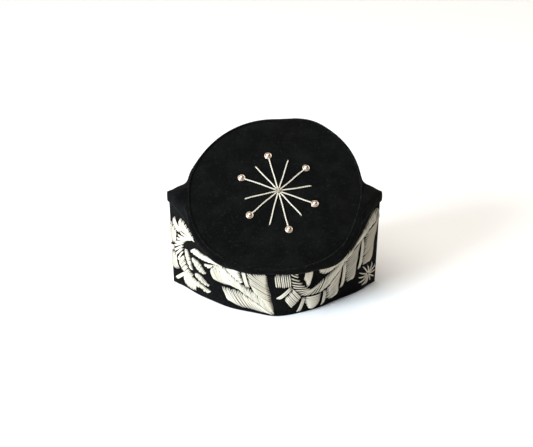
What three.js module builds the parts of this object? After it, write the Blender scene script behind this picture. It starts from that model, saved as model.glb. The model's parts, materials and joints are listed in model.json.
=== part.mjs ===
// A soft velvet cap: a stiff side band creased at both ends, and a round flat crown that leans
// forward and hangs over the front of the band. Six domed studs sit on the crown.
// Millimetres, +Z up, the front towards -Y, standing on its open rim.

import * as THREE from 'three';
import { LoftGeometry } from 'three/addons/geometries/LoftGeometry.js';

// Side band: a wall round an almond-shaped opening, with a crease at each end
const BAND_HALF_LENGTH = 117; // from the middle to a crease, outside
const BAND_HALF_DEPTH = 75; // from the middle to the front or back, outside
const BAND_ROUNDNESS = 1.65; // 1 gives straight sides, 2 a round bow
const BAND_HEIGHT = 112; // at the two creases
const BAND_BACK_DIP = 9; // how much lower the top edge is behind
const BAND_WALL = 2.4;
const CREASE_PEAK = 3; // how quickly the top edge falls away from a crease

// Crown: a round panel, and a side panel that joins it to the band
const CROWN_FULLNESS = 1.06; // round of the panel against round of the band
const CROWN_TILT = 36; // degrees that the panel leans forward
const CROWN_RISE = 7; // middle of the panel above the band's creases
const CROWN_OVERHANG = 9; // seam of the panel in front of the band
const CROWN_WALL = 2;
const PANEL_DOME = 2.5; // how far the middle of the panel swells
const PANEL_FLATNESS = 4; // higher keeps the swell level further out
const SEAM_GAP = 0.5; // between pieces that are sewn together
const SEAM_GROOVE = 0.8; // how far the seam of the panel is pulled in
const LAP = 14; // how far the side panel comes down over the band
const HEM = 3; // strip of the side panel that always lies flat on the band
const LAP_EASING = 3.5; // how softly the two rules for the lower edge of the side panel blend
const BAND_CLEARANCE = 3; // top edge of the band below the crown in front

// Studs on the crown
const STUD_RADIUS = 4.2;
const STUD_HEIGHT = 3;
const STUD_RIM = 0.7; // height of the thin edge round the dome
const STUD_STAND_OFF = 0.3; // above the velvet
const STAR_RADIUS = 44;
const STAR_SHIFT = 4; // middle of the star to the right of the middle of the panel
const STAR_DROP = 3; // middle of the star in front of the middle of the panel

// How finely the curves are stepped
const TURNS = 96;
const SIDE_STEPS = 9;
const SIDE_CROWDING = 1.6; // above 1 the steps lie closer together at the seam
const PANEL_RINGS = 8;
const STUD_SIDES = 16;
const STUD_STEPS = 4;
const RADIUS_TRIES = 12; // rounds of finding the almond's radius
const SEAM_TRIES = 40; // rounds of finding the seam's point

// Outline of the crown panel. at: degrees from the right-hand end, over the back. reach: share of
// the panel's radius.
const PANEL_OUTLINE = [
  { at: 0, reach: 1.0 },
  { at: 45, reach: 1.04 },
  { at: 62, reach: 1.05 },
  { at: 90, reach: 0.968 },
  { at: 138, reach: 0.962 },
  { at: 180, reach: 0.985 },
  { at: 225, reach: 1.04 },
  { at: 270, reach: 1.01 },
  { at: 312, reach: 1.04 },
  { at: 342, reach: 0.985 },
];

// The side panel all the way round. at: degrees from the right-hand crease, over the back.
// rim and bulge: how far it rolls out at the seam, and swells where it leaves the band, shares of
// the span between those two. turn: where it leaves the band, from 0 at the hem to 1 over the
// band's top edge. meet: the way it leaves, in degrees, with 0 outwards, 90 straight up and 180
// inwards. lap: lower edge under the band's top edge, share of LAP. drop: lower edge under the
// seam, share of LAP, where that is lower.
const SIDE_PANEL = [
  { at: 0, rim: 0.26, bulge: 0.45, turn: 1, meet: 165, lap: 0.65, drop: 1.0 },
  { at: 12, rim: 0.2, bulge: 0.25, turn: 1, meet: 115, lap: 0.8, drop: 1.0 },
  { at: 30, rim: 0.22, bulge: 0.25, turn: 1, meet: 95, lap: 0.9, drop: 1.0 },
  { at: 90, rim: 0.2, bulge: 0.35, turn: 1, meet: 92, lap: 0.9, drop: 1.0 },
  { at: 150, rim: 0.2, bulge: 0.22, turn: 1, meet: 98, lap: 0.9, drop: 1.0 },
  { at: 168, rim: 0.2, bulge: 0.25, turn: 1, meet: 115, lap: 0.8, drop: 1.0 },
  { at: 180, rim: 0.26, bulge: 0.45, turn: 1, meet: 165, lap: 0.65, drop: 1.0 },
  { at: 190, rim: 0.25, bulge: 0.35, turn: 1, meet: 135, lap: 1.0, drop: 1.2 },
  { at: 197, rim: 0.5, bulge: 0.45, turn: 0.3, meet: 50, lap: 1.1, drop: 1.4 },
  { at: 206, rim: 0.5, bulge: 0.6, turn: 0.1, meet: 20, lap: 0.9, drop: 1.5 },
  { at: 225, rim: 0.42, bulge: 0.8, turn: 0, meet: 0, lap: 0.3, drop: 1.4 },
  { at: 245, rim: 0.42, bulge: 0.8, turn: 0, meet: -5, lap: 0.3, drop: 1.0 },
  { at: 270, rim: 0.5, bulge: 0.9, turn: 0, meet: -5, lap: 0.3, drop: 0.65 },
  { at: 295, rim: 0.42, bulge: 0.8, turn: 0, meet: -5, lap: 0.3, drop: 1.0 },
  { at: 315, rim: 0.5, bulge: 0.9, turn: 0, meet: -5, lap: 0.3, drop: 1.5 },
  { at: 334, rim: 0.6, bulge: 0.7, turn: 0.1, meet: 15, lap: 1.0, drop: 1.7 },
  { at: 343, rim: 0.7, bulge: 0.5, turn: 0.5, meet: 60, lap: 1.1, drop: 1.5 },
  { at: 350, rim: 0.25, bulge: 0.4, turn: 1, meet: 130, lap: 1.0, drop: 1.3 },
];

// The six studs of the star. at: degrees round the star from the right, reach: share of STAR_RADIUS.
const STUDS = [
  { at: -22, reach: 0.96 },
  { at: 44, reach: 0.97 },
  { at: 104, reach: 1.07 },
  { at: 157, reach: 1.0 },
  { at: 224, reach: 0.98 },
  { at: 283, reach: 1.09 },
];

const TILT = THREE.MathUtils.degToRad(CROWN_TILT);
const SLOPE = Math.tan(TILT);

const velvet = new THREE.MeshStandardMaterial({ color: 0x121214, roughness: 0.95, metalness: 0 });
const bandVelvet = new THREE.MeshStandardMaterial({ color: 0x15161a, roughness: 0.9, metalness: 0 });
const silver = new THREE.MeshStandardMaterial({ color: 0xcbb8ac, roughness: 0.25, metalness: 1 });

// Distance from the middle to an almond outline, in the direction of an angle.
function outlineRadius(angle, halfLength, halfDepth) {
  const along = Math.abs(Math.cos(angle)) / halfLength;
  const across = Math.abs(Math.sin(angle)) / halfDepth;
  let radius = Math.min(halfLength, halfDepth);
  for (let step = 0; step < RADIUS_TRIES; step++) {
    const lengthPart = (radius * along) ** BAND_ROUNDNESS;
    const slope = (BAND_ROUNDNESS * lengthPart) / radius + across;
    radius -= (lengthPart + radius * across - 1) / slope;
  }
  return radius;
}

function bandOutside(angle) {
  return outlineRadius(angle, BAND_HALF_LENGTH, BAND_HALF_DEPTH);
}

// The inner outline keeps the wall's thickness square to the slanting sides near a crease.
function bandInside(angle) {
  const creaseSlope = (BAND_HALF_DEPTH * BAND_ROUNDNESS) / BAND_HALF_LENGTH;
  const wallAtCrease = BAND_WALL / Math.sin(Math.atan(creaseSlope));
  return outlineRadius(angle, BAND_HALF_LENGTH - wallAtCrease, BAND_HALF_DEPTH - BAND_WALL);
}

function bandRound() {
  let length = 0;
  const last = new THREE.Vector2(bandOutside(0), 0);
  const next = new THREE.Vector2();
  for (let turn = 1; turn <= TURNS; turn++) {
    const angle = (turn / TURNS) * 2 * Math.PI;
    next.set(Math.cos(angle), Math.sin(angle)).multiplyScalar(bandOutside(angle));
    length += next.distanceTo(last);
    last.copy(next);
  }
  return length;
}

// The panel's size follows the band that it is sewn to, and its place the band's front and creases.
const PANEL_RADIUS = (bandRound() * CROWN_FULLNESS) / (2 * Math.PI);
const PANEL_MIDDLE = new THREE.Vector3(
  0,
  PANEL_RADIUS * Math.cos(TILT) - BAND_HALF_DEPTH - CROWN_OVERHANG,
  BAND_HEIGHT + CROWN_RISE,
);

function panelHeight(y) {
  return PANEL_MIDDLE.z + (y - PANEL_MIDDLE.y) * SLOPE;
}

// A smooth value between the rows of a table, repeating after a full turn.
function tableAt(table, angle, column) {
  const degrees = THREE.MathUtils.euclideanModulo(THREE.MathUtils.radToDeg(angle), 360);
  const after = table.findIndex((row) => row.at > degrees);
  const right = after < 0 ? 0 : after;
  const left = (right + table.length - 1) % table.length;
  const end = table[right].at || 360;
  const share = (degrees - table[left].at) / (end - table[left].at);
  const eased = share * share * (3 - 2 * share);
  return THREE.MathUtils.lerp(table[left][column], table[right][column], eased);
}

function sidePanelAt(angle, column) {
  return tableAt(SIDE_PANEL, angle, column);
}

// The seam's point at an angle round the panel, seen from above.
function panelPoint(round) {
  const radius = PANEL_RADIUS * tableAt(PANEL_OUTLINE, round, 'reach');
  const y = PANEL_MIDDLE.y + radius * Math.sin(round) * Math.cos(TILT);
  return new THREE.Vector2(radius * Math.cos(round), y);
}

// Where the upright plane at an angle crosses the seam of the tilted panel, as distance and height.
function seamPoint(angle) {
  let round = angle;
  for (let step = 0; step < SEAM_TRIES; step++) {
    const error = angle - panelPoint(round).angle();
    round += THREE.MathUtils.euclideanModulo(error + Math.PI, 2 * Math.PI) - Math.PI;
  }
  const point = panelPoint(round);
  return new THREE.Vector2(point.length(), panelHeight(point.y));
}

function smoothLower(a, b, width) {
  const share = THREE.MathUtils.clamp(0.5 + (b - a) / (2 * width), 0, 1);
  return THREE.MathUtils.lerp(b, a, share) - width * share * (1 - share);
}

// Top edge of the band: highest at the creases, lower behind, and tucked under the crown in front.
function bandTop(angle) {
  const free = BAND_HEIGHT - BAND_BACK_DIP * (1 - Math.abs(Math.cos(angle)) ** CREASE_PEAK);
  const radius = bandOutside(angle);
  const panelAbove = panelHeight(radius * Math.sin(angle));
  return Math.min(free, panelAbove - CROWN_WALL / Math.cos(TILT) - BAND_CLEARANCE);
}

// Lower edge of the side panel, against the outside of the band.
function sideEdge(angle) {
  const onBand = bandTop(angle) - LAP * sidePanelAt(angle, 'lap');
  const underSeam = seamPoint(angle).y - LAP * sidePanelAt(angle, 'drop');
  return smoothLower(onBand, underSeam, LAP_EASING);
}

// The outside of the side panel in the upright plane at an angle, from the seam to the lower edge.
function sideOutline(angle) {
  const seam = seamPoint(angle);
  const edge = new THREE.Vector2(bandOutside(angle) + SEAM_GAP + CROWN_WALL, sideEdge(angle));
  const overTop = bandTop(angle) + SEAM_GAP + CROWN_WALL;
  const turn = THREE.MathUtils.lerp(edge.y + HEM, overTop, sidePanelAt(angle, 'turn'));
  const shoulder = new THREE.Vector2(edge.x, turn);
  const span = seam.distanceTo(shoulder);

  const outwards = new THREE.Vector2(1, SLOPE * Math.sin(angle)).normalize();
  const rim = outwards.multiplyScalar(span * sidePanelAt(angle, 'rim')).add(seam);
  const meet = THREE.MathUtils.degToRad(sidePanelAt(angle, 'meet'));
  const away = new THREE.Vector2(Math.cos(meet), Math.sin(meet));
  const hang = away.multiplyScalar(span * sidePanelAt(angle, 'bulge')).add(shoulder);

  // Steps lie closer together at the seam, where the cloth turns most sharply.
  const curve = new THREE.CubicBezierCurve(seam, rim, hang, shoulder);
  const line = [];
  for (let step = 0; step <= SIDE_STEPS; step++) {
    const share = (step / SIDE_STEPS) ** SIDE_CROWDING;
    line.push({ point: curve.getPoint(share), along: curve.getTangent(share) });
  }
  line.push({ point: edge, along: new THREE.Vector2(0, -1) });
  return line;
}

// The other side of the cloth, with a sharp corner where the lap begins.
function clothInside(line) {
  return line.map(({ point, along }, index) => {
    const next = line[Math.min(index + 1, line.length - 1)];
    const leaving = index === line.length - 2 ? next.along : along;
    const middle = along.clone().add(leaving).normalize();
    const reach = CROWN_WALL / middle.dot(along);
    return new THREE.Vector2(point.x + middle.y * reach, point.y - middle.x * reach);
  });
}

function sectionInSpace(section, angle) {
  return section.map((p) => new THREE.Vector3(p.x * Math.cos(angle), p.x * Math.sin(angle), p.y));
}

// Lofts a closed section all the way round the vertical axis.
function loftRound(sectionAt) {
  const sections = [];
  for (let turn = 0; turn <= TURNS; turn++) {
    const angle = ((turn % TURNS) / TURNS) * 2 * Math.PI;
    sections.push(sectionInSpace(sectionAt(angle), angle));
  }
  return new LoftGeometry(sections);
}

function makeSideBand() {
  const geometry = loftRound((angle) => [
    new THREE.Vector2(bandInside(angle), 0),
    new THREE.Vector2(bandInside(angle), bandTop(angle)),
    new THREE.Vector2(bandOutside(angle), bandTop(angle)),
    new THREE.Vector2(bandOutside(angle), 0),
  ]);
  const mesh = new THREE.Mesh(geometry, bandVelvet);
  mesh.name = 'side_band';
  return mesh;
}

function makeCrownSide() {
  const geometry = loftRound((angle) => {
    const outside = sideOutline(angle);
    const inside = clothInside(outside).reverse();
    return outside.map(({ point }) => point).concat(inside);
  });
  const mesh = new THREE.Mesh(geometry, velvet);
  mesh.name = 'crown_side';
  return mesh;
}

// Height of the panel's outside above its seam, at a distance from its middle.
function panelSwell(distance) {
  const share = Math.min(1, distance / PANEL_RADIUS);
  return PANEL_DOME * (1 - share ** PANEL_FLATNESS) - SEAM_GROOVE;
}

function makeCrownTop() {
  const edge = PANEL_RADIUS - SEAM_GAP;
  const outside = [];
  for (let ring = 0; ring <= PANEL_RINGS; ring++) {
    const distance = edge * Math.sin(((ring / PANEL_RINGS) * Math.PI) / 2);
    outside.push(new THREE.Vector2(distance, panelSwell(distance)));
  }
  const inside = outside.map((p) => new THREE.Vector2(p.x, p.y - CROWN_WALL));
  const geometry = new THREE.LatheGeometry(inside.concat(outside.reverse()), TURNS);
  geometry.rotateX(Math.PI / 2);
  const position = geometry.getAttribute('position');
  for (let index = 0; index < position.count; index++) {
    const x = position.getX(index);
    const y = position.getY(index);
    const reach = tableAt(PANEL_OUTLINE, Math.atan2(y, x), 'reach');
    position.setXY(index, x * reach, y * reach);
  }
  geometry.computeVertexNormals();
  const mesh = new THREE.Mesh(geometry, velvet);
  mesh.name = 'crown_top';
  return mesh;
}

function makeStud(index) {
  const profile = [new THREE.Vector2(0, 0), new THREE.Vector2(STUD_RADIUS, 0)];
  for (let step = 0; step < STUD_STEPS; step++) {
    const angle = ((step / STUD_STEPS) * Math.PI) / 2;
    const height = STUD_RIM + (STUD_HEIGHT - STUD_RIM) * Math.sin(angle);
    profile.push(new THREE.Vector2(STUD_RADIUS * Math.cos(angle), height));
  }
  profile.push(new THREE.Vector2(0, STUD_HEIGHT));
  const geometry = new THREE.LatheGeometry(profile, STUD_SIDES).rotateX(Math.PI / 2);
  const mesh = new THREE.Mesh(geometry, silver);
  mesh.name = `stud_${index + 1}`;

  const { at, reach } = STUDS[index];
  const angle = THREE.MathUtils.degToRad(at);
  const x = STAR_SHIFT + STAR_RADIUS * reach * Math.cos(angle);
  const y = STAR_RADIUS * reach * Math.sin(angle) - STAR_DROP;
  mesh.position.set(x, y, panelSwell(Math.hypot(x, y)) + STUD_STAND_OFF);
  return mesh;
}

const panel = new THREE.Group();
panel.position.copy(PANEL_MIDDLE);
panel.rotation.x = TILT;
panel.add(makeCrownTop());
for (let index = 0; index < STUDS.length; index++) {
  panel.add(makeStud(index));
}

const cap = new THREE.Group();
cap.add(makeSideBand(), makeCrownSide(), panel);

// The origin is on the ground, under the middle of the whole cap.
const bounds = new THREE.Box3().setFromObject(cap, true);
const middle = bounds.getCenter(new THREE.Vector3());
cap.position.set(-middle.x, -middle.y, -bounds.min.z);

const part = new THREE.Group();
part.add(cap);

export default part;
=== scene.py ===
# %% [markdown]
# A soft velvet cap, finished by hand
#
# The cap has a stiff band, almond-shaped from above, and a round flat crown that leans forward over
# it. Both are black velvet. Thick cream thread fills leaves and blocks on the band, and twelve cords
# make a star on the crown, with six domed studs at their ends. The plain solids come from CAD and
# give every piece its place. Here each of them gets its cloth, seams, stitches and shine.

# %% Load the frame
import json
import math
import random

import bpy
import numpy as np
from mathutils import Matrix, Vector, noise
from mathutils.bvhtree import BVHTree

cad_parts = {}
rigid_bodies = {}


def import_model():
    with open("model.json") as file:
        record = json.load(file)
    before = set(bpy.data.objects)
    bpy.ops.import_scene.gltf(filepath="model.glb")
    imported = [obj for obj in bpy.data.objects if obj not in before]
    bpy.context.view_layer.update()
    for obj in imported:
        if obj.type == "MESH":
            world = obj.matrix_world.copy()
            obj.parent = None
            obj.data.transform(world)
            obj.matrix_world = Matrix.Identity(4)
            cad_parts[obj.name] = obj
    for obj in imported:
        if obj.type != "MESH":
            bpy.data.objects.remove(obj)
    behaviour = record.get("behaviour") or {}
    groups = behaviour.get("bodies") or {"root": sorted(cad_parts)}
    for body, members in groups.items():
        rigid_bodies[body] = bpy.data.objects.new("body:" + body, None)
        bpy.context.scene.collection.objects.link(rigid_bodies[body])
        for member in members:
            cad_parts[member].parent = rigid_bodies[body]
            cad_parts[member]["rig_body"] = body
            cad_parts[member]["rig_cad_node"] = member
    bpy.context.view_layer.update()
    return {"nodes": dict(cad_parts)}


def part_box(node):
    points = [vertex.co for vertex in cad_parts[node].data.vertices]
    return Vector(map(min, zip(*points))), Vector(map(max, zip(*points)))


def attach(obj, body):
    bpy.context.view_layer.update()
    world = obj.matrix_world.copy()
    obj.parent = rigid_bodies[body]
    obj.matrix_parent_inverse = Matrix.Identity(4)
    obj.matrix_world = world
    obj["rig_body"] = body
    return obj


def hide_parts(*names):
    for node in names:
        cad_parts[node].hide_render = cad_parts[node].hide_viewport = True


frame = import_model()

MM = 0.001

# %% [markdown]
# Taking one piece in hand
#
# Operators act on everything that is selected, and the loaded nodes arrive selected. So each step
# first lets go of everything and takes just the piece that it works on. Faces, edges and points
# are then chosen by a test on their place, which does the same job as clicking them. Points are
# read and moved all at once, in millimetres.

# %% Helpers for taking a piece and choosing parts of it
def let_go():
    if bpy.context.object and bpy.context.object.mode != "OBJECT":
        bpy.ops.object.mode_set(mode="OBJECT")
    bpy.ops.object.select_all(action="DESELECT")


def take(piece):
    let_go()
    piece.select_set(True)
    bpy.context.view_layer.objects.active = piece
    return piece


def choose(piece, kind, test):
    take(piece)
    bpy.ops.object.mode_set(mode="EDIT")
    bpy.ops.mesh.select_mode(type=kind)
    bpy.ops.mesh.select_all(action="DESELECT")
    bpy.ops.object.mode_set(mode="OBJECT")
    mesh = piece.data
    parts = {"VERT": mesh.vertices, "EDGE": mesh.edges, "FACE": mesh.polygons}[kind]
    for part in parts:
        part.select = bool(test(part))
    found = sum(part.select for part in parts)
    bpy.ops.object.mode_set(mode="EDIT")
    return found


def add_modifier(piece, kind, **settings):
    take(piece)
    bpy.ops.object.modifier_add(type=kind)
    modifier = piece.modifiers[-1]
    for name, value in settings.items():
        setattr(modifier, name, value)
    bpy.ops.object.modifier_apply(modifier=modifier.name)


def rise_of(piece, edge):
    first, second = (piece.data.vertices[corner].co.z for corner in edge.vertices)
    return abs(second - first)


def turn_faces_out(piece):
    choose(piece, "FACE", lambda face: True)
    bpy.ops.mesh.normals_make_consistent(inside=False)
    let_go()


def shade_smooth(piece):
    take(piece)
    bpy.ops.object.shade_smooth()


def points_of(piece):
    points = np.empty(len(piece.data.vertices) * 3)
    piece.data.vertices.foreach_get("co", points)
    return points.reshape(-1, 3) / MM


def move_points(piece, points):
    piece.data.vertices.foreach_set("co", (np.asarray(points) * MM).ravel())
    piece.data.update()


def read_columns(at, stops, rows):
    return np.column_stack([np.interp(at, stops, column) for column in np.transpose(rows)])


def fade_in(value, start, length):
    return np.clip((value - start) / length, 0, 1)


# %% [markdown]
# From a CAD solid to cloth
#
# A solid from CAD is made of loose flat triangles. Cloth needs a smooth surface that can be pushed
# about. So the solid is duplicated, its doubled points are merged, and its triangles are joined
# into four-sided faces, which Subdivision Surface rounds evenly. Edges that are sharp on the solid
# are creased a little first, so that a hem stays crisp and a rolled edge stays round.

# %% Copy a solid as a sheet of four-sided faces
SMOOTH_LEVEL = 2
FLAT_ENOUGH = math.radians(80)
DOUBLES_WITHIN = 0.01


def cloth_copy(node, name):
    take(frame["nodes"][node])
    bpy.ops.object.duplicate()
    cloth = bpy.context.object
    cloth.name = cloth.data.name = name
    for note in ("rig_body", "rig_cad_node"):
        del cloth[note]
    bpy.ops.object.parent_clear(type="CLEAR_KEEP_TRANSFORM")
    bpy.ops.mesh.customdata_custom_splitnormals_clear()
    choose(cloth, "FACE", lambda face: True)
    bpy.ops.mesh.remove_doubles(threshold=DOUBLES_WITHIN * MM)
    bpy.ops.mesh.tris_convert_to_quads(
        face_threshold=FLAT_ENOUGH, shape_threshold=FLAT_ENOUGH, topology_influence=1.0)
    let_go()
    quads = sum(len(face.vertices) == 4 for face in cloth.data.polygons)
    print(name, "has", quads, "four-sided faces of", len(cloth.data.polygons))
    return cloth


def smooth_cloth(cloth, sharp_angle, crease):
    choose(cloth, "EDGE", lambda edge: False)
    bpy.ops.mesh.edges_select_sharp(sharpness=math.radians(sharp_angle))
    bpy.ops.transform.edge_crease(value=crease)
    let_go()
    add_modifier(cloth, "SUBSURF", levels=SMOOTH_LEVEL, render_levels=SMOOTH_LEVEL)
    shade_smooth(cloth)
    print(cloth.name, "now has", len(cloth.data.polygons), "faces")


# %% [markdown]
# Measuring round the band
#
# Embroidery is laid out flat, before the band is sewn into a ring. So a place on the band is given
# by how far it lies round the band from the middle of the front, and how high it is. The bottom
# edge of the solid gives the ring of points, and lengths along it turn a flat place into a place in
# space. The lower edge of the crown's side panel is measured the same way, because the stitches
# disappear under it.

# %% Turn a distance round the band into a place
band_low, band_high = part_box("side_band")
BAND_MIDDLE = np.array([(band_low.x + band_high.x) / 2, (band_low.y + band_high.y) / 2]) / MM
RING_STEPS = 96
STEP = 2 * math.pi / RING_STEPS
TINY_TURN = 1e-6
BOTTOM_EDGE = 0.1
HEM_WITHIN = 3.2


def turn_of(points):
    turned = np.arctan2(points[:, 1] - BAND_MIDDLE[1], points[:, 0] - BAND_MIDDLE[0])
    return np.mod(turned + math.pi / 2 + TINY_TURN, 2 * math.pi)


def reach_of(points):
    return np.hypot(points[:, 0] - BAND_MIDDLE[0], points[:, 1] - BAND_MIDDLE[1])


bottom = points_of(frame["nodes"]["side_band"])
bottom = bottom[bottom[:, 2] < BOTTOM_EDGE]
bottom = bottom[np.argsort(reach_of(bottom))]
ring = {}
for point, turn in zip(bottom, turn_of(bottom)):
    ring[round(turn / STEP) % RING_STEPS] = (reach_of(point[None])[0], *point[:2])
ring_turns = np.arange(RING_STEPS + 1) * STEP
ring_points = np.array([ring[key][1:] for key in sorted(ring)])
ring_points = np.vstack([ring_points, ring_points[:1]])
ring_steps = np.diff(ring_points, axis=0)
ring_run = np.concatenate([[0], np.cumsum(np.hypot(*ring_steps.T))])
ROUND = ring_run[-1]
step_out = np.column_stack([ring_steps[:, 1], -ring_steps[:, 0]])
step_out /= np.hypot(*step_out.T)[:, None]
ring_out = step_out + np.roll(step_out, 1, axis=0)
ring_out = np.vstack([ring_out, ring_out[:1]])
ring_out /= np.hypot(*ring_out.T)[:, None]
print("round the band:", round(ROUND, 1), "mm, in", len(ring), "steps")


def run_of(points):
    return np.interp(turn_of(points), ring_turns, ring_run)


def out_of_band(run):
    return read_columns(np.mod(run, ROUND), ring_run, ring_out)


hem_points = points_of(frame["nodes"]["crown_side"])
hem_gap = reach_of(hem_points) - reach_of(read_columns(run_of(hem_points), ring_run, ring_points))
hem_points = hem_points[hem_gap < HEM_WITHIN]
hem = {}
for point, turn in zip(hem_points, turn_of(hem_points)):
    key = round(turn / STEP) % RING_STEPS
    hem[key] = min(point[2], hem.get(key, math.inf))
hem_run = ring_run[:-1]
hem_height = np.array([hem[key] for key in sorted(hem)])


def hem_at(run):
    return np.interp(np.mod(run, ROUND), hem_run, hem_height, period=ROUND)


print("hem of the crown: front", round(float(hem_at(0)), 1), "back", round(float(hem_at(ROUND / 2)), 1))

# %% [markdown]
# The velvet of the band
#
# A band like this is velvet glued or quilted over a stiff strip, so it holds an upright wall with
# soft shallow waves and a sharp fold at each end. The wall is tall for its few faces, so its upright
# edges are cut several times first. After smoothing, every point is pushed in or out along the wall
# by a slow wave. Both faces of the wall move together, which keeps its thickness, and the wave dies
# out under the crown, where another layer lies against it.

# %% Make the band's velvet
WAVE = 0.9
WAVE_FADE = 12
FOLD_FADE = 15
TALL_EDGE = 20
UPRIGHT_CUTS = 9
FOLD_STARTS = 110
FOLD_CREASE = 0.9


def band_wave(run, height):
    # six and eleven waves fit round the band, so that nothing jumps in front
    turn = run / ROUND * 2 * math.pi
    wave = np.sin(6 * turn + height * 0.021) + 0.6 * np.sin(11 * turn - height * 0.034 + 1.4)
    under_crown = fade_in(hem_at(run) - height, 0, WAVE_FADE)
    from_fold = np.mod(run + ROUND / 4, ROUND / 2)
    from_fold = np.minimum(from_fold, ROUND / 2 - from_fold)
    return WAVE * wave * under_crown * fade_in(from_fold, 0, FOLD_FADE)


def on_band(run, height, lift):
    run = np.asarray(run, float)
    place = read_columns(np.mod(run, ROUND), ring_run, ring_points)
    place += out_of_band(run) * (band_wave(run, height) + lift)[:, None]
    return np.column_stack([place, height])


def on_fold(edge):
    places = [band.data.vertices[corner].co / MM for corner in edge.vertices]
    at_end = all(abs(place.x) > FOLD_STARTS and abs(place.y - BAND_MIDDLE[1]) < 1 for place in places)
    return at_end and rise_of(band, edge) > 5 * MM


band = cloth_copy("side_band", "band_cloth")
upright = choose(band, "EDGE", lambda edge: rise_of(band, edge) > TALL_EDGE * MM)
bpy.ops.mesh.subdivide(number_cuts=UPRIGHT_CUTS)
choose(band, "EDGE", on_fold)
bpy.ops.transform.edge_crease(value=FOLD_CREASE)
smooth_cloth(band, 25, 0.8)
points = points_of(band)
push = band_wave(run_of(points), points[:, 2])
points[:, :2] += out_of_band(run_of(points)) * push[:, None]
move_points(band, points)
print("cut", upright, "upright edges; the wave moves points by up to", round(abs(push).max(), 2), "mm")

# %% [markdown]
# The velvet of the crown
#
# The crown is soft. Its side panel rolls out from the seam, hangs over the front and laps over the
# band, and it is never quite even, because nothing stiff holds it. Slow noise moves both faces of
# the cloth together, along the direction away from the inside of the cap. It fades out at the hem,
# which lies on the band, and at the seam, where the two panels have to meet.

# %% Make the velvet of the side panel
PANEL_TILT = math.radians(36)
PANEL_ALONG = np.array([0, math.cos(PANEL_TILT), math.sin(PANEL_TILT)])
PANEL_UP = np.array([0, -math.sin(PANEL_TILT), math.cos(PANEL_TILT)])
crown_points = points_of(frame["nodes"]["crown_top"])
INSIDE = np.array([0, BAND_MIDDLE[1], 70])
# all the triangles of the panel's fan meet in its middle, so it is the most repeated point
places, repeats = np.unique(np.round(crown_points, 2), axis=0, return_counts=True)
poles = places[np.argsort(repeats)[-2:]]
CROWN_MIDDLE = poles[np.argmax(poles @ PANEL_UP)]
print("middle of the crown:", np.round(CROWN_MIDDLE, 1), "mm")


def panel_place(points):
    away = points - CROWN_MIDDLE
    return np.column_stack([away[:, 0], away @ PANEL_ALONG, away @ PANEL_UP])


flat = panel_place(crown_points)
flat = flat[np.argsort(np.hypot(flat[:, 0], flat[:, 1]) + flat[:, 2] * 0.001)]
seam = {}
for place in flat:
    seam[round(math.atan2(place[1], place[0]) / STEP) % RING_STEPS] = place
seam_angles = np.arange(RING_STEPS) * STEP
seam_reach = np.array([math.hypot(*seam[key][:2]) for key in sorted(seam)])
SEAM_HEIGHT = float(np.median([seam[key][2] for key in seam]))
print("seam of the crown: reach", round(seam_reach.min(), 1), "to", round(seam_reach.max(), 1),
      "in", len(seam), "steps, height", round(SEAM_HEIGHT, 2))


def seam_reach_at(angle):
    return np.interp(angle, seam_angles, seam_reach, period=2 * math.pi)


def slow_noise(points, size, seed):
    shift = Vector((seed * 7.3, seed * 3.1, seed * 5.7))
    return np.array([noise.noise(Vector(point) / size + shift) for point in points])


def rumpled(points, table):
    return sum(height * slow_noise(points, size, seed) for height, size, seed in table)


SIDE_RUMPLES = [
    # height, size, seed
    (2.6, 34, 1),
    (1.1, 15, 2),
]
side = cloth_copy("crown_side", "crown_side_cloth")
smooth_cloth(side, 50, 0.6)
points = points_of(side)
from_hem = points[:, 2] - hem_at(run_of(points))
flat = panel_place(points)
from_seam = np.hypot(flat[:, 0], flat[:, 1]) - seam_reach_at(np.arctan2(flat[:, 1], flat[:, 0]))
from_seam = np.hypot(from_seam, flat[:, 2] - SEAM_HEIGHT)
# start and length of each fade, in mm from the hem and from the seam
fade = fade_in(from_hem, 5, 16) * fade_in(from_seam, 2, 12)
rumple = rumpled(points, SIDE_RUMPLES)
away = points - INSIDE
away /= np.linalg.norm(away, axis=1)[:, None]
points += away * (rumple * fade)[:, None]
print("the side panel is rumpled by up to", round(abs(rumple * fade).max(), 2), "mm")

# %% [markdown]
# Beside each end of the band the crown sinks in a little, so that the end stands out like an ear,
# and the slack cloth there lies in soft folds that run from the seam down to the hem.

# %% Sink the crown beside the ears and fold it
SINK_DEPTH = 3.4
SINK_MIDDLE = 101
SINK_WIDTH = 5
SINK_HEIGHT = 113
EAR_FOLDS = [
    # x and z of the upper end, x and z of the lower end, width, height
    (99, 119, 115, 101, 2.6, 1.7),
    (95, 106, 106, 90, 2.4, 1.3),
    (90, 96, 97, 82, 2.6, 1.0),
]
behind = points[:, 1] - BAND_MIDDLE[1]
beside = np.exp(-((abs(points[:, 0]) - SINK_MIDDLE) / SINK_WIDTH) ** 2)
beside *= fade_in(points[:, 2], SINK_HEIGHT, 4) * fade_in(behind, -10, 10) * fade_in(-behind, -45, 20)
sink = SINK_DEPTH / math.sqrt(2) * beside
points -= np.column_stack([np.sign(points[:, 0]) * sink, np.zeros(len(points)), sink])
in_front = fade_in(-behind, -4, 6)
for x_up, z_up, x_down, z_down, width, height in EAR_FOLDS:
    line = np.array([x_down - x_up, z_down - z_up])
    from_top = np.column_stack([abs(points[:, 0]) - x_up, points[:, 2] - z_up])
    share = np.clip(from_top @ line / (line @ line), 0, 1)
    gap = np.hypot(*(from_top - share[:, None] * line).T)
    swell = height * np.exp(-(gap / width) ** 2) * in_front * fade_in(from_hem, 1, 8)
    points += away * swell[:, None]
move_points(side, points)
print("the crown sinks by up to", round(float(beside.max() * SINK_DEPTH), 2), "mm beside the ears")

# %% [markdown]
# The round panel is nearly flat and softly domed. It gets the same treatment with a smaller
# movement, which fades out towards its seam.

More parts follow.
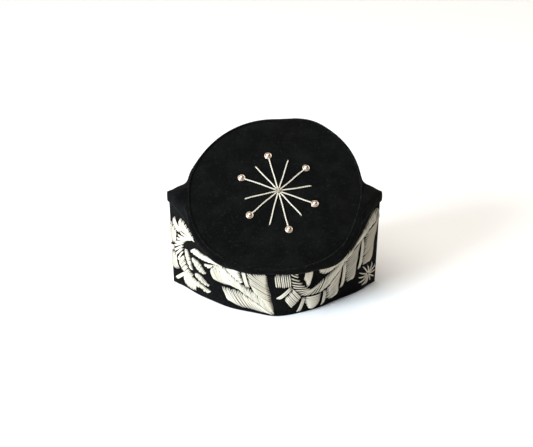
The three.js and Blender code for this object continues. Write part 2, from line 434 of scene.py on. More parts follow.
# %% Make the velvet of the round panel
PANEL_DENTS = [
    # height, size, seed
    (1.5, 45, 3),
    (0.4, 17, 4),
]
panel = cloth_copy("crown_top", "crown_top_cloth")
smooth_cloth(panel, 50, 0.5)
points = points_of(panel)
flat = panel_place(points)
inner = seam_reach_at(np.arctan2(flat[:, 1], flat[:, 0])) - np.hypot(flat[:, 0], flat[:, 1])
dents = rumpled(points, PANEL_DENTS) * fade_in(inner, 0, 22)
move_points(panel, points + PANEL_UP * dents[:, None])
print("the round panel has dents of up to", round(abs(dents).max(), 2), "mm")

# %% [markdown]
# The seam round the crown
#
# Where the round panel is sewn to the side panel, the two edges turn in and the pile stands up in a
# soft ridge that catches the light. It is one closed line that follows the seam, with a round
# thickness, turned into a mesh.

# %% Lay a ridge along the seam
RIDGE_RADIUS = 1.3
RIDGE_OUT = 0.2
RIDGE_WANDER = 0.006
RIDGE_BOB = 0.35


def panel_to_space(places):
    return CROWN_MIDDLE + np.asarray(places) @ [[1, 0, 0], PANEL_ALONG, PANEL_UP]


ridge_reach = seam_reach + RIDGE_OUT
seam_line = np.column_stack([
    ridge_reach * np.cos(seam_angles),
    ridge_reach * np.sin(seam_angles),
    np.full(len(seam_angles), SEAM_HEIGHT),
])
seam_line[:, :2] *= (1 + RIDGE_WANDER * slow_noise(seam_line, 14, 5))[:, None]
seam_line[:, 2] += RIDGE_BOB * slow_noise(seam_line, 9, 6)
let_go()
bpy.ops.curve.primitive_nurbs_circle_add(radius=1)
ridge = bpy.context.object
ridge.name = "crown_seam"
ridge.data.splines.clear()
spline = ridge.data.splines.new("NURBS")
spline.points.add(len(seam_line) - 1)
for point, place in zip(spline.points, panel_to_space(seam_line)):
    point.co = (*(place * MM), 1)
spline.use_cyclic_u = True
spline.order_u = 4
ridge.data.resolution_u = 3
ridge.data.bevel_depth = RIDGE_RADIUS * MM
ridge.data.bevel_resolution = 2
take(ridge)
bpy.ops.object.convert(target="MESH")
ridge = bpy.context.object
shade_smooth(ridge)
print("the ridge has", len(ridge.data.polygons), "faces")

# %% [markdown]
# One stitch, made once
#
# A satin stitch is a thick soft thread that comes up through the cloth, crosses the shape and goes
# down again. It is modelled once: a six-sided cylinder, one unit long, cut across five times, a
# little flattened, with both ends drawn in. Copies of it are then bent over the band, each with its
# own start, end and rise, so that hundreds of threads need only a few dozen faces each.

# %% Model the stitch
STITCH_SIDES = 6
STITCH_CUTS = 5
STITCH_END = 0.55
STITCH_FLATNESS = 0.85


def model_stitch():
    let_go()
    bpy.ops.mesh.primitive_cylinder_add(
        vertices=STITCH_SIDES, radius=1, depth=1, end_fill_type="NGON", location=(0, 0, 0.5))
    stitch = bpy.context.object
    bpy.ops.object.transform_apply(location=True)
    choose(stitch, "EDGE", lambda edge: rise_of(stitch, edge) > 0.5)
    bpy.ops.mesh.subdivide(number_cuts=STITCH_CUTS)
    choose(stitch, "VERT", lambda point: point.co.z < 0.01 or point.co.z > 0.99)
    bpy.ops.transform.resize(value=(STITCH_END, STITCH_END, 1))
    choose(stitch, "VERT", lambda point: True)
    bpy.ops.transform.resize(value=(1, STITCH_FLATNESS, 1), center_override=(0, 0, 0))
    let_go()
    shape = np.array([point.co for point in stitch.data.vertices])
    faces = [list(face.vertices) for face in stitch.data.polygons]
    bpy.data.objects.remove(stitch)
    return shape, faces


stitch_shape, stitch_faces = model_stitch()
print("a stitch has", len(stitch_shape), "points and", len(stitch_faces), "faces")

# %% [markdown]
# Filling a shape with threads
#
# Every leaf lies between two lines, such as its vein and its outer edge. The threads run side by
# side from a place on the first line to the same share of the second. A slant moves the second end
# on, so that the threads lean as they do in a leaf. Padding under the stitches makes them rise
# between their ends. A shape can be given a grey of its own, which is painted shade, and painted
# light where the grey is below zero. Real hands are never exact, so the ends move a little at
# random, with a fixed seed so that every run gives the same cap.

# %% Lay threads between two lines
hand = random.Random(11)
FINE = 1.7
ROPY = 2.35
LEANING = 3.0
FILL = 0.34
THINNEST = 0.62
JITTER = 0.12
EARLY = 1.3
STEEPEST = 0.18
SHORTEST = 1.5
TRIM_STEPS = 41
HEM_GAP = 0.6
BOTTOM_GAP = 1.6


def smooth_line(line):
    line = np.array(line, float)
    if len(line) < 3:
        return line
    # each span is a cubic through its two points, with a point added beyond both ends
    held = np.vstack([2 * line[0] - line[1], line, 2 * line[-1] - line[-2]])
    share = np.linspace(0, 1, 8, endpoint=False)[:, None]
    parts = []
    for a, b, c, d in zip(held, held[1:], held[2:], held[3:]):
        parts.append(0.5 * (2 * b + (c - a) * share + (2 * a - 5 * b + 4 * c - d) * share**2
                            + (3 * b - a - 3 * c + d) * share**3))
    return np.vstack([*parts, line[-1:]])


def length_of(line):
    return np.hypot(*np.diff(line, axis=0).T).sum()


def along(line, share):
    run = np.concatenate([[0], np.cumsum(np.hypot(*np.diff(line, axis=0).T))])
    return np.array([np.interp(share * run[-1], run, line[:, i]) for i in (0, 1)])


def lay_threads(start, end, gap=FINE, rise=1.1, slant=0.0, width=None, paired=False, grey=0.0):
    first = smooth_line(start)
    second = smooth_line(end)
    count = max(1, round(max(length_of(first), length_of(second)) / gap))
    if width is None:
        # leaning threads lie closer together than their ends do
        way = second[len(second) // 2] - first[len(first) // 2]
        ends = (first[-1] - first[0] + second[-1] - second[0]) / 2
        square = abs(way[0] * ends[1] - way[1] * ends[0]) / (np.hypot(*way) * np.hypot(*ends) + 0.01)
        width = max(THINNEST, gap * FILL * max(0.6, square))
    threads = []
    for number in range(count):
        share = (number + 0.5 + hand.uniform(-JITTER, JITTER)) / count
        # the needle comes back through nearly the same hole, so two threads share each outer tip
        tip = (number // 2 * 2 + 1 + (number % 2 - 0.5) * 0.35) / count if paired else share
        begin = along(first, share)
        finish = along(second, min(1, max(0, tip + slant)))
        way = finish - begin
        length = max(np.hypot(*way), 0.1)
        # two of three threads start a little earlier, so that dark dots stay along a vein
        early = EARLY if number % 3 else 0.0
        begin = begin - way / length * (early + hand.uniform(-0.3, 0.1))
        finish = finish + way / length * hand.uniform(-0.35, 0.45)
        thick = width * hand.uniform(0.93, 1.07)
        threads.append((begin, finish, min(rise, STEEPEST * length), thick, grey))
    return threads


def trim(threads, low, high):
    kept = []
    for begin, finish, *rest in threads:
        share = np.linspace(0, 1, TRIM_STEPS)
        run = begin[0] + (finish[0] - begin[0]) * share
        height = begin[1] + (finish[1] - begin[1]) * share
        free = (height < hem_at(run) - HEM_GAP) & (height > BOTTOM_GAP) & (run > low) & (run < high)
        if free.sum() < 4:
            continue
        first = int(np.argmax(free))
        last = len(free) - 1 - int(np.argmax(free[::-1]))
        begin, finish = (np.array([run[i], height[i]]) for i in (first, last))
        if np.hypot(*(finish - begin)) > SHORTEST:
            kept.append((begin, finish, *rest))
    return kept


def patch(start, end, **settings):
    return dict(start=start, end=end, **settings)


def bar(start, end, count=3, gap=1.35, width=0.66):
    start = np.array(start, float)
    end = np.array(end, float)
    way = end - start
    across = np.array([-way[1], way[0]]) / np.hypot(*way) * gap * count / 2
    return patch([start - across, start + across], [end - across, end + across],
                 gap=gap, rise=0.8, width=width)


# %% [markdown]
# The drawing on the left of the front
#
# The left half has a round flower that opens to the left, a spray of slim leaves, and one broad leaf
# whose point reaches the bottom of the band beside the middle. Places are in millimetres on the
# flat band: how far from the middle of the front, and how high.

# %% The flower and the slim leaves on the left
FLOWER = [
    # two petals behind the fold, the bar over them and the petal under the crown
    patch([(-147, 76), (-142, 78), (-137, 76), (-133, 71), (-131, 66)],
          [(-147, 54), (-142, 52), (-138, 52), (-134, 54), (-132, 58)]),
    patch([(-147, 51), (-147, 43)], [(-137, 50), (-136, 44)]),
    bar((-135, 84), (-124, 70), count=5),
    patch([(-125, 86), (-120, 87), (-114, 82), (-108, 76), (-102, 69)],
          [(-124, 72), (-118, 70), (-112, 69), (-106, 68), (-100, 66)], rise=1.3),
    # the stem that runs down from the ring, and the low petal
    patch([(-121, 42), (-120, 36), (-117, 30), (-112, 25), (-106, 22)],
          [(-131, 33), (-129, 26), (-125, 21), (-119, 18), (-112, 16)], gap=1.9),
    patch([(-147, 40), (-142, 41), (-137, 41), (-133, 37)],
          [(-147, 23), (-141, 20), (-135, 19), (-129, 22)]),
]
FLOWER_RAYS = [
    # inner end, outer end
    ((-102, 68), (-126, 70)),
    ((-108, 66), (-130, 65)),
    ((-114, 64), (-133, 60)),
    ((-118, 61), (-136, 54)),
    ((-121, 58), (-137, 49)),
    ((-122, 54), (-137, 43)),
    ((-123, 50), (-135, 38)),
    ((-123, 46), (-132, 32)),
    ((-122, 41), (-129, 26)),
]
FLOWER += [bar(inner, outer, count=2, gap=1.3) for inner, outer in FLOWER_RAYS]
SLIM_LEAVES = [
    patch([(-118, 52), (-118, 45), (-116, 38), (-112, 32), (-108, 29)],
          [(-116, 54), (-113, 49), (-110, 43), (-108, 37), (-106, 30)], slant=0.1),
    patch([(-106, 43), (-103, 39), (-98, 34), (-92, 32), (-85, 32)],
          [(-106, 45), (-99, 45), (-93, 43), (-88, 38), (-84, 33)]),
    patch([(-102, 25), (-97, 22), (-90, 19), (-85, 18), (-81, 18)],
          [(-101, 27), (-94, 28), (-89, 26), (-84, 22), (-80, 19)]),
    patch([(-109, 53), (-104, 51), (-95, 50), (-87, 49), (-73, 49), (-62, 50)],
          [(-107, 56), (-101, 58), (-94, 58), (-87, 56), (-78, 55), (-66, 54), (-52, 53)], slant=0.1),
    bar((-136, 7), (-121, 19)),
    patch([(-122, 14), (-122, 8), (-118, 4), (-110, 3), (-101, 5)],
          [(-121, 19), (-115, 21), (-107, 20), (-102, 19), (-98, 16)]),
    patch([(-99, 10), (-93, 12), (-86, 9), (-80, 10)],
          [(-99, 20), (-93, 17), (-86, 15), (-79, 12)], slant=0.1),
    patch([(-86, 44), (-81, 42), (-78, 42)], [(-85, 45), (-79, 46), (-73, 47)]),
]
print("flower:", len(FLOWER), "shapes, slim leaves:", len(SLIM_LEAVES))

# %% [markdown]
# The broad leaf is worked in five parts that meet along its veins. Its lowest part ends in a row of
# little teeth, because two threads share each hole along that edge. A short bar crosses the leaf.

# %% The broad leaf
BROAD_LEAF = [
    # painted shade: the grey of 2.2 darkens this part of the leaf
    patch([(-32, 72), (-31, 60), (-31, 48), (-29, 37), (-24, 28), (-19, 24), (-13, 20), (-7, 15),
           (-3, 9)],
          [(-10, 56), (-9, 49), (-8, 42), (-6, 33), (-4, 25), (-3, 17), (-1, 10), (-1, 3)],
          gap=3.3, width=0.86, slant=0.12, grey=2.2),
    patch([(-62, 64), (-60, 54), (-56, 46), (-50, 42), (-44, 39), (-38, 35)],
          [(-42, 62), (-41, 55), (-40, 49), (-39, 45), (-38, 42), (-36, 36)], gap=ROPY),
    patch([(-75, 48), (-67, 51), (-56, 45), (-44, 38), (-36, 32), (-27, 28), (-19, 24), (-13, 20),
           (-7, 15)],
          [(-65, 43), (-54, 35), (-42, 27), (-34, 21), (-28, 18), (-22, 14), (-16, 11), (-10, 6),
           (-2, 2)],
          gap=ROPY),
    patch([(-78, 40), (-73, 46), (-64, 43), (-55, 36), (-47, 31), (-42, 28)],
          [(-78, 37), (-76, 32), (-70, 28), (-61, 27), (-51, 28), (-42, 27)], slant=0.25, rise=1.3),
    patch([(-57, 14), (-59, 19), (-62, 23), (-51, 24), (-42, 24), (-33, 20), (-22, 14), (-10, 7)],
          [(-56, 12), (-51, 9), (-44, 6), (-36, 4), (-27, 4), (-18, 3), (-10, 3), (-2, 2)],
          gap=ROPY, slant=0.06, paired=True),
    bar((-36, 53), (-30, 30), gap=1.5, width=0.72),
]
LEFT_HALF = FLOWER + SLIM_LEAVES + BROAD_LEAF
print("the left half has", len(LEFT_HALF), "shapes")

# %% [markdown]
# The drawing on the right of the front
#
# The right half starts with two small blocks and an open fan, and climbs to the fold in three big
# leaves, each with a bar of thread beside it. A small star fills the lower corner.

# %% The blocks and the fan on the right
BLOCKS = [
    # painted shade on the first block; the two blocks with a negative grey get painted light
    patch([(0, 49), (2, 51), (16, 50)], [(1, 36), (9, 35), (17, 35)], gap=2.1, width=0.78, grey=0.6),
    bar((3, 22), (18, 35)),
    patch([(10, 20), (20, 32)], [(18, 8), (30, 19)], gap=2.0, width=0.84, grey=-0.6),
    patch([(34, 52), (43, 52)], [(32, 41), (35, 36), (37, 30), (39, 31), (41, 37)], gap=1.9),
    bar((26, 2), (33, 19)),
    patch([(35, 18), (35, 12), (39, 4)], [(55, 18), (54, 12), (50, 5), (43, 3)],
          gap=2.0, width=0.84, grey=-0.8),
]
FAN_BARS = [
    # start, end
    ((20, 51), (25, 49)),
    ((17, 50), (26, 45)),
    ((16, 46), (28, 40)),
    ((16, 42), (31, 36)),
    ((17, 38), (34, 32)),
    ((19, 34), (38, 29)),
    ((21, 30), (41, 27)),
    ((24, 26), (44, 26)),
    ((27, 22), (46, 27)),
    ((32, 20), (49, 29)),
    ((37, 19), (52, 31)),
    ((42, 18), (55, 33)),
    ((47, 18), (58, 35)),
]
FAN = [bar(start, end, count=1, width=0.8) for start, end in FAN_BARS]
print("blocks:", len(BLOCKS), "fan bars:", len(FAN))

# %% [markdown]
# The climbing leaves are the largest shapes on this side. Each stands higher than the one before,
# up to the fold, and their threads lie further apart than on the broad leaf. The small star needs no
# filling: each of its rays is a single thread from near its middle to a tip.

# %% The climbing leaves and the small star
CLIMBING_LEAVES = [
    # the stem over the first leaf, then each leaf with the bar on its left
    patch([(50, 18), (56, 20), (62, 23), (68, 28), (74, 33), (80, 39)],
          [(57, 33), (63, 38), (68, 41), (74, 45), (81, 50), (88, 56)], slant=0.12, gap=ROPY),
    bar((56, 3), (60, 20)),
    patch([(66, 25), (63, 19), (62, 14), (62, 9), (66, 7), (72, 7), (76, 10)],
          [(84, 43), (83, 37), (82, 31), (81, 26), (80, 21), (79, 16), (78, 12)], gap=LEANING),
    bar((84, 15), (87, 47)),
    patch([(89, 50), (89, 42), (88, 34), (89, 27), (91, 21), (95, 20), (99, 22)],
          [(112, 66), (110, 60), (108, 52), (107, 45), (105, 38), (104, 31), (101, 25)], gap=LEANING),
    bar((109, 30), (114, 68)),
    # painted shade: the grey of 1.2 darkens the highest leaf
    patch([(120, 71), (119, 66), (117, 58), (115, 50), (114, 42), (114, 35), (118, 33), (124, 33),
           (129, 36)],
          [(143, 84), (141, 77), (139, 70), (137, 62), (136, 54), (135, 47), (133, 41), (130, 37)],
          gap=LEANING, grey=1.2),
    # strips along the crown
    patch([(51, 46), (56, 42), (62, 41), (70, 43)], [(50, 52), (56, 54), (69, 54), (76, 56)]),
    patch([(70, 43), (78, 46), (86, 47), (92, 51), (99, 58), (105, 62), (113, 67)],
          [(75, 55), (84, 57), (92, 58), (98, 60), (104, 66), (110, 72), (116, 78)],
          gap=ROPY, slant=0.08),
    # painted shade: the grey of 0.8 darkens the last strip
    patch([(113, 67), (118, 70), (124, 74), (130, 77), (137, 79), (142, 80)],
          [(114, 76), (121, 85), (126, 91), (131, 95), (136, 96), (142, 95)],
          slant=-0.08, gap=ROPY, grey=0.8),
]
SMALL_STAR = [
    # the tips of its rays
    (134, 29), (125, 28), (116, 30), (110, 24), (109, 18), (110, 11),
    (116, 6), (122, 5), (131, 6), (138, 9), (141, 17), (140, 24),
]
STAR_CENTRE = np.array([127.0, 16.5])


def small_star():
    rays = []
    for tip in SMALL_STAR:
        way = np.array(tip) - STAR_CENTRE
        rays.append(bar(STAR_CENTRE + way / np.hypot(*way) * 1.2, tip, count=1, width=0.85))
    return rays


RIGHT_HALF = BLOCKS + FAN + CLIMBING_LEAVES + small_star()
print("the right half has", len(RIGHT_HALF), "shapes")

# %% [markdown]
# Bending the stitches over the band
#
# Each copy of the stitch follows its thread: its length runs from start to end, and its round
# section is turned so that up is away from the band. The rise is flat on top and drops quickly at
# both ends, which go down into the velvet. A UV map keeps the length along the thread and the way
# round it, so that the twist of the yarn can follow every thread, and an attribute keeps one value
# for each: its random tone plus the grey of its shape, which paints shade on it, and light where the
# grey is negative.

# %% Join copies of a shape, and build the embroidery
DIP = -0.5
ARCH_POWER = 3.5
LIE_ON = 0.7
LOOK_AHEAD = 0.02


def join_copies(name, shapes, faces):
    count = len(shapes[0])
    all_faces = [[corner + number * count for corner in face]
                 for number in range(len(shapes)) for face in faces]
    mesh = bpy.data.meshes.new(name)
    mesh.from_pydata((np.vstack(shapes) * MM).tolist(), [], all_faces)
    piece = bpy.data.objects.new(name, mesh)
    bpy.context.scene.collection.objects.link(piece)
    turn_faces_out(piece)
    shade_smooth(piece)
    return piece


def sew(name, threads):
    share = stitch_shape[:, 2]
    begin = np.array([thread[0] for thread in threads])
    finish = np.array([thread[1] for thread in threads])
    rise = np.array([thread[2] for thread in threads])[:, None]
    thick = np.array([thread[3] for thread in threads])[:, None]

    def place(at):
        run = begin[:, :1] + (finish - begin)[:, :1] * at
        height = begin[:, 1:] + (finish - begin)[:, 1:] * at
        arch = 1 - np.abs(2 * at - 1) ** ARCH_POWER
        lift = DIP * (1 - arch) + (rise + thick * LIE_ON) * arch
        return on_band(run.ravel(), height.ravel(), lift.ravel()).reshape(*run.shape, 3), run

    middle, run = place(share[None, :])
    ahead, _ = place(np.minimum(share + LOOK_AHEAD, 1)[None, :])
    behind, _ = place(np.maximum(share - LOOK_AHEAD, 0)[None, :])
    way = ahead - behind
    way /= np.linalg.norm(way, axis=2)[..., None]
    out = np.column_stack([out_of_band(run.ravel()), np.zeros(run.size)]).reshape(middle.shape)
    across = np.cross(out, way)
    across /= np.linalg.norm(across, axis=2)[..., None]
    up = np.cross(way, across)
    offset = across * stitch_shape[None, :, :1] + up * stitch_shape[None, :, 1:2]
    piece = join_copies(name, middle + offset * thick[..., None], stitch_faces)

    # one turn of the UV map is one turn round the thread, and its length is in millimetres
    count = len(stitch_shape)
    lengths = np.hypot(*(finish - begin).T)
    around = np.arctan2(stitch_shape[:, 1], stitch_shape[:, 0]) / (2 * math.pi)
    spots = []
    for face in piece.data.polygons:
        length = lengths[face.vertices[0] // count]
        corners = [corner % count for corner in face.vertices]
        turns = [around[corner] for corner in corners]
        if max(turns) - min(turns) > 0.5:
            turns = [turn + 1 if turn < 0 else turn for turn in turns]
        spots += [(share[corner] * length, turn) for corner, turn in zip(corners, turns)]
    layer = piece.data.uv_layers.new(name="thread")
    layer.data.foreach_set("uv", np.array(spots).ravel())
    # the random tone plus the shape's grey, which is painted shade, and painted light where negative
    tone = piece.data.attributes.new("tone", "FLOAT", "POINT")
    tone.data.foreach_set(
        "value", np.repeat([hand.random() + thread[4] for thread in threads], count))
    triangles = sum(len(face) - 2 for face in stitch_faces) * len(threads)
    print(name, "has", len(threads), "threads and", triangles, "triangles")
    return piece


front_threads = []
for shape in LEFT_HALF + RIGHT_HALF:
    front_threads += lay_threads(**shape)
embroidery_front = sew("embroidery_front", trim(front_threads, -ROUND / 4 - 7, ROUND / 4 - 1))

# %% [markdown]
# The same drawing on the back
#
# The photograph shows only the front, and such a cap carries its drawing all the way round. On the
# back the crown doesn't hang over the band, so the drawing is stretched upwards until it fills the
# height there, and its threads keep their distance from each other.

# %% Repeat the drawing on the back
def to_back(point):
    run, height = point
    front = max(hem_at(run), 1)
    back = hem_at(run + ROUND / 2)
    return (run + ROUND / 2, height * max(1, back / front))


back_threads = []
for shape in LEFT_HALF + RIGHT_HALF:
    moved = dict(shape)
    for line in ("start", "end"):
        moved[line] = [to_back(point) for point in shape[line]]
    back_threads += lay_threads(**moved)
embroidery_back = sew("embroidery_back", trim(back_threads, ROUND / 4 + 4, ROUND * 3 / 4 - 9))

# %% [markdown]
# The star of cords
#
# Twelve lengths of twisted cord run out from one point on the crown. Two round strands that wind
# round each other make a cord, so it is modelled as two small circles that the Screw modifier
# carries up and round. The cord is made once. Each copy is stretched to its length and laid on the
# velvet by dropping a ray on the finished panel from above, all along its way.

# %% Model one twisted cord
CORD_LENGTH = 44
STRAND = 0.4
STRAND_OUT = 0.42
CORD_TURNS = 8
CORD_STEPS = 90


def model_cord():
    let_go()
    bpy.ops.mesh.primitive_circle_add(
        vertices=8, radius=STRAND * MM, location=(STRAND_OUT * MM, 0, 0))
    cord = bpy.context.object
    bpy.ops.object.transform_apply(location=True)
    choose(cord, "VERT", lambda point: True)
    bpy.ops.mesh.duplicate()
    bpy.ops.transform.translate(value=(-2 * STRAND_OUT * MM, 0, 0))
    let_go()
    add_modifier(cord, "SCREW", angle=2 * math.pi * CORD_TURNS, screw_offset=CORD_LENGTH * MM,
                 steps=CORD_STEPS, render_steps=CORD_STEPS, use_merge_vertices=False)
    take(cord)
    bpy.ops.object.mode_set(mode="EDIT")
    bpy.ops.mesh.select_mode(type="EDGE")
    bpy.ops.mesh.select_all(action="DESELECT")
    bpy.ops.mesh.select_non_manifold()
    bpy.ops.mesh.edge_face_add()
    turn_faces_out(cord)
    shape = points_of(cord)
    faces = [list(face.vertices) for face in cord.data.polygons]
    bpy.data.objects.remove(cord)
    return shape, faces


cord_shape, cord_faces = model_cord()
print("a cord has", len(cord_faces), "faces")

# %% [markdown]
# The star isn't centred on the round panel. Every stud has another one across from it, so the middle
# of the star is the place that lies nearest to the three lines between such pairs. What is laid on
# the crown is then given by its place on the flat panel, and a ray that drops on the finished velvet
# finds the height and the slope there.

# %% Find the middle of the star between the studs
studs = [f"stud_{number}" for number in range(1, 7)]
stud_bases = []
for name in studs:
    place = panel_place(points_of(frame["nodes"][name]))
    base = place[place[:, 2] < place[:, 2].min() + 0.05]
    stud_bases.append((base[:, :2].min(axis=0) + base[:, :2].max(axis=0)) / 2)
crossing = []
for number in range(3):
    across = stud_bases[number + 3] - stud_bases[number]
    crossing.append((stud_bases[number], np.array([-across[1], across[0]]) / np.hypot(*across)))
normals = np.array([normal for _, normal in crossing])
offsets = np.array([point @ normal for point, normal in crossing])
star_middle = np.linalg.lstsq(normals, offsets, rcond=None)[0]
print("middle of the star on the panel:", np.round(star_middle, 1), "mm")

DROP_FROM = 30
panel_tree = BVHTree.FromPolygons(
    [point.co for point in panel.data.vertices], [face.vertices for face in panel.data.polygons])


def on_crown(flat_place, lift):
    above = Vector(panel_to_space([*flat_place, DROP_FROM]) * MM)
    hit, normal, _, _ = panel_tree.ray_cast(above, Vector(-PANEL_UP))
    return np.array(hit) / MM + np.array(normal) * lift, np.array(normal)


# %% [markdown]
# Between the six cords that end at studs lie six plain ones, a little shorter. They are given by
# their direction, in degrees from the right, and their length.

# %% Lay the twelve cords
PLAIN_RAYS = [
    # direction, length
    (10.6, 37.0),
    (74.0, 41.4),
    (129.0, 40.1),
    (196.0, 37.7),
    (257.0, 42.2),
    (309.0, 39.2),
]
CORD_LIFT = 0.75
STATIONS = 24
STUD_END = 3.2
KNOT_REACH = 2.2
TAPER = 22
SLIMMEST = 0.45
END_SINK = 0.6
WANDER = 0.12


def bend_cord(start, end, lift=CORD_LIFT):
    stops = range(STATIONS + 1)
    rows = [on_crown(start + (end - start) * stop / STATIONS, lift) for stop in stops]
    line = np.array([row[0] for row in rows])
    ups = np.array([row[1] for row in rows])
    share = cord_shape[:, 2] / CORD_LENGTH
    middle = read_columns(share * STATIONS, stops, line)
    up = read_columns(share * STATIONS, stops, ups)
    way = (line[-1] - line[0]) / np.linalg.norm(line[-1] - line[0])
    across = np.cross(way, up)
    across /= np.linalg.norm(across, axis=1)[:, None]
    ends = np.clip(np.minimum(share, 1 - share) * TAPER, 0, 1) ** 0.5
    slim = SLIMMEST + (1 - SLIMMEST) * ends
    sink = (1 - ends) * END_SINK
    wander = WANDER * np.sin(share * 9 + start[0] + end[1])
    return (middle + across * (cord_shape[:, :1] * slim[:, None] + wander[:, None])
            + up * (cord_shape[:, 1:2] * slim[:, None] - sink[:, None]))


def pointing(degrees):
    return np.array([math.cos(math.radians(degrees)), math.sin(math.radians(degrees))])


def way_to(place):
    return (place - star_middle) / np.hypot(*(place - star_middle))


tips = [base - way_to(base) * STUD_END for base in stud_bases]
tips += [star_middle + length * pointing(direction) for direction, length in PLAIN_RAYS]
cords = [bend_cord(star_middle + way_to(tip) * KNOT_REACH, tip) for tip in tips]
star_cords = join_copies("star_cords", cords, cord_faces)
print("the star has", len(cords), "cords that reach",
      [round(float(np.hypot(*(tip - star_middle))), 1) for tip in tips], "mm")

# %% [markdown]
# Three short lengths of the same cord cross over the middle and tie the twelve down. The knot is
# given a darker finish than the cords.

# %% Tie the knot
KNOT_HALF = 3.2
KNOT_LIFT = 1.5
KNOT_DIRECTIONS = (20, 78, 141)
knots = []
for degrees in KNOT_DIRECTIONS:
    half = pointing(degrees) * KNOT_HALF
    knots.append(bend_cord(star_middle - half, star_middle + half, lift=KNOT_LIFT))
star_knot = join_copies("star_knot", knots, cord_faces)
print("the knot has", len(star_knot.data.polygons), "faces")

# %% [markdown]
# The studs
#
# A stud is a little pressed-metal dome with a thin flat brim, held to the velvet by claws behind.
# It starts as a circle. Its edge is extruded and scaled ring by ring, up the brim and over the
# dome, and the last ring is closed. Subdivision smooths it. Six copies, each with its own mesh, go
# to their places, turned to lie on the leaning crown, and the first stud is removed.

# %% Model one stud
STUD_RINGS = [
    # radius, height
    (4.2, -0.5),
    (4.2, 0.5),
    (3.95, 0.85),
    (3.5, 0.75),
    (3.2, 0.45),
    (2.95, 1.2),
    (2.45, 2.05),
    (1.6, 2.6),
    (0.8, 2.85),
]
STUD_SIDES = 24


def model_stud():
    let_go()
    radius, height = STUD_RINGS[0]
    bpy.ops.mesh.primitive_circle_add(
        vertices=STUD_SIDES, radius=radius * MM, fill_type="NGON", location=(0, 0, height * MM))
    stud = bpy.context.object
    bpy.ops.object.transform_apply(location=True)
    choose(stud, "EDGE", lambda edge: True)
    for (radius, height), (next_radius, next_height) in zip(STUD_RINGS, STUD_RINGS[1:]):
        bpy.ops.mesh.extrude_edges_move(
            TRANSFORM_OT_translate={"value": (0, 0, (next_height - height) * MM)})
        share = next_radius / radius
        bpy.ops.transform.resize(value=(share, share, 1))
    bpy.ops.mesh.edge_face_add()
    turn_faces_out(stud)
    add_modifier(stud, "SUBSURF", levels=SMOOTH_LEVEL, render_levels=SMOOTH_LEVEL)
    shade_smooth(stud)
    return stud


first_stud = model_stud()
stud_pieces = []
for name, base in zip(studs, stud_bases):
    take(first_stud)
    bpy.ops.object.duplicate()
    piece = bpy.context.object
    piece.name = piece.data.name = name + "_dome"
    place, up = on_crown(base, 0)
    lean = Vector((0, 0, 1)).rotation_difference(Vector(up))
    piece.matrix_world = Matrix.Translation(Vector(place) * MM) @ lean.to_matrix().to_4x4()
    take(piece)
    bpy.ops.object.transform_apply(location=True, rotation=True, scale=True)
    stud_pieces.append(piece)
bpy.data.objects.remove(first_stud)
print("studs:", len(stud_pieces), "with", len(stud_pieces[0].data.polygons), "faces each")

# %% [markdown]
# Shader maths as plain sums
#
# A pattern in a material is a sum of noises and waves. Building it node by node is slow to read, so
# a small class wraps a socket and lets it be added, multiplied and compared. Every other node is
# made by one method, which takes its kind, its settings and what goes into its sockets. The same
# class serves for the room round the cap, which is a tree of nodes too.

# %% A socket that can be used in a sum, and a finish that makes nodes
class Wire:
    def __init__(self, finish, link):
        self.finish = finish
        self.link = link

    def maths(self, operation, *values):
        return self.finish.node("ShaderNodeMath", {"operation": operation}, dict(enumerate(values)))

    def __add__(self, other):
        return self.maths("ADD", self, other)

    def __sub__(self, other):
        return self.maths("SUBTRACT", self, other)

    def __rsub__(self, other):
        return self.maths("SUBTRACT", other, self)

    def __mul__(self, other):
        return self.maths("MULTIPLY", self, other)

    # a sum or a product is the same whichever side comes first
    __radd__ = __add__
    __rmul__ = __mul__

    def __gt__(self, other):
        return self.maths("GREATER_THAN", self, other)

    def sine(self):
        return self.maths("SINE", self)

    def kept(self):
        return self.finish.node(
            "ShaderNodeMath", {"operation": "ADD", "use_clamp": True}, {0: self, 1: 0.0})


class Finish:
    def __init__(self, name, holder=bpy.data.materials, shader="Principled BSDF", **plain):
        self.made = holder.new(name)
        self.made.use_nodes = True
        self.tree = self.made.node_tree
        self.shader = self.tree.nodes[shader]
        for socket, value in plain.items():
            self.shader.inputs[socket.replace("_", " ")].default_value = value

    def node(self, kind, settings=None, sockets=None, out=0):
        made = self.tree.nodes.new(kind)
        for name, value in (settings or {}).items():
            if name == "stops":
                for stop, (at, colour) in zip(made.color_ramp.elements, value):
                    stop.position = at
                    stop.color = colour
            else:
                setattr(made, name, value)
        for socket, value in (sockets or {}).items():
            if isinstance(value, Wire):
                self.tree.links.new(value.link, made.inputs[socket])
            else:
                made.inputs[socket].default_value = value
        return Wire(self, made.outputs[out])

    def mix(self, share, first, second):
        return self.node("ShaderNodeMix", {"data_type": "RGBA"}, {0: share, 6: first, 7: second}, out=2)

    def place(self):
        return self.node("ShaderNodeTexCoord", out="Object")

    def noise(self, place, scale, detail=3.0, roughness=0.55):
        return self.node("ShaderNodeTexNoise", {}, {
            "Vector": place, "Scale": scale, "Detail": detail, "Roughness": roughness}, out="Fac")

    def feed(self, **wires):
        for socket, wire in wires.items():
            self.tree.links.new(wire.link, self.shader.inputs[socket.replace("_", " ")])

    def bump(self, height, distance, strength=1.0):
        return self.node("ShaderNodeBump", {}, {
            "Height": height, "Distance": distance * MM, "Strength": strength}, out="Normal")


# %% [markdown]
# Black velvet
#
# Velvet is short upright pile. It swallows light from the front and glows a little where the pile
# is seen from the side, which the sheen of the shader gives. Wide soft patches show where the pile
# was stroked one way or the other, fine noise gives the pile itself, and a few pale specks are the
# lint that black velvet always picks up.

# %% Make the velvet
BLACK = (0.0011, 0.0011, 0.0011, 1)
STROKED = (0.0032, 0.0032, 0.003, 1)
TUFT = (0.012, 0.012, 0.0115, 1)
LINT = (0.12, 0.12, 0.115, 1)
LINT_SCALE = 42.0


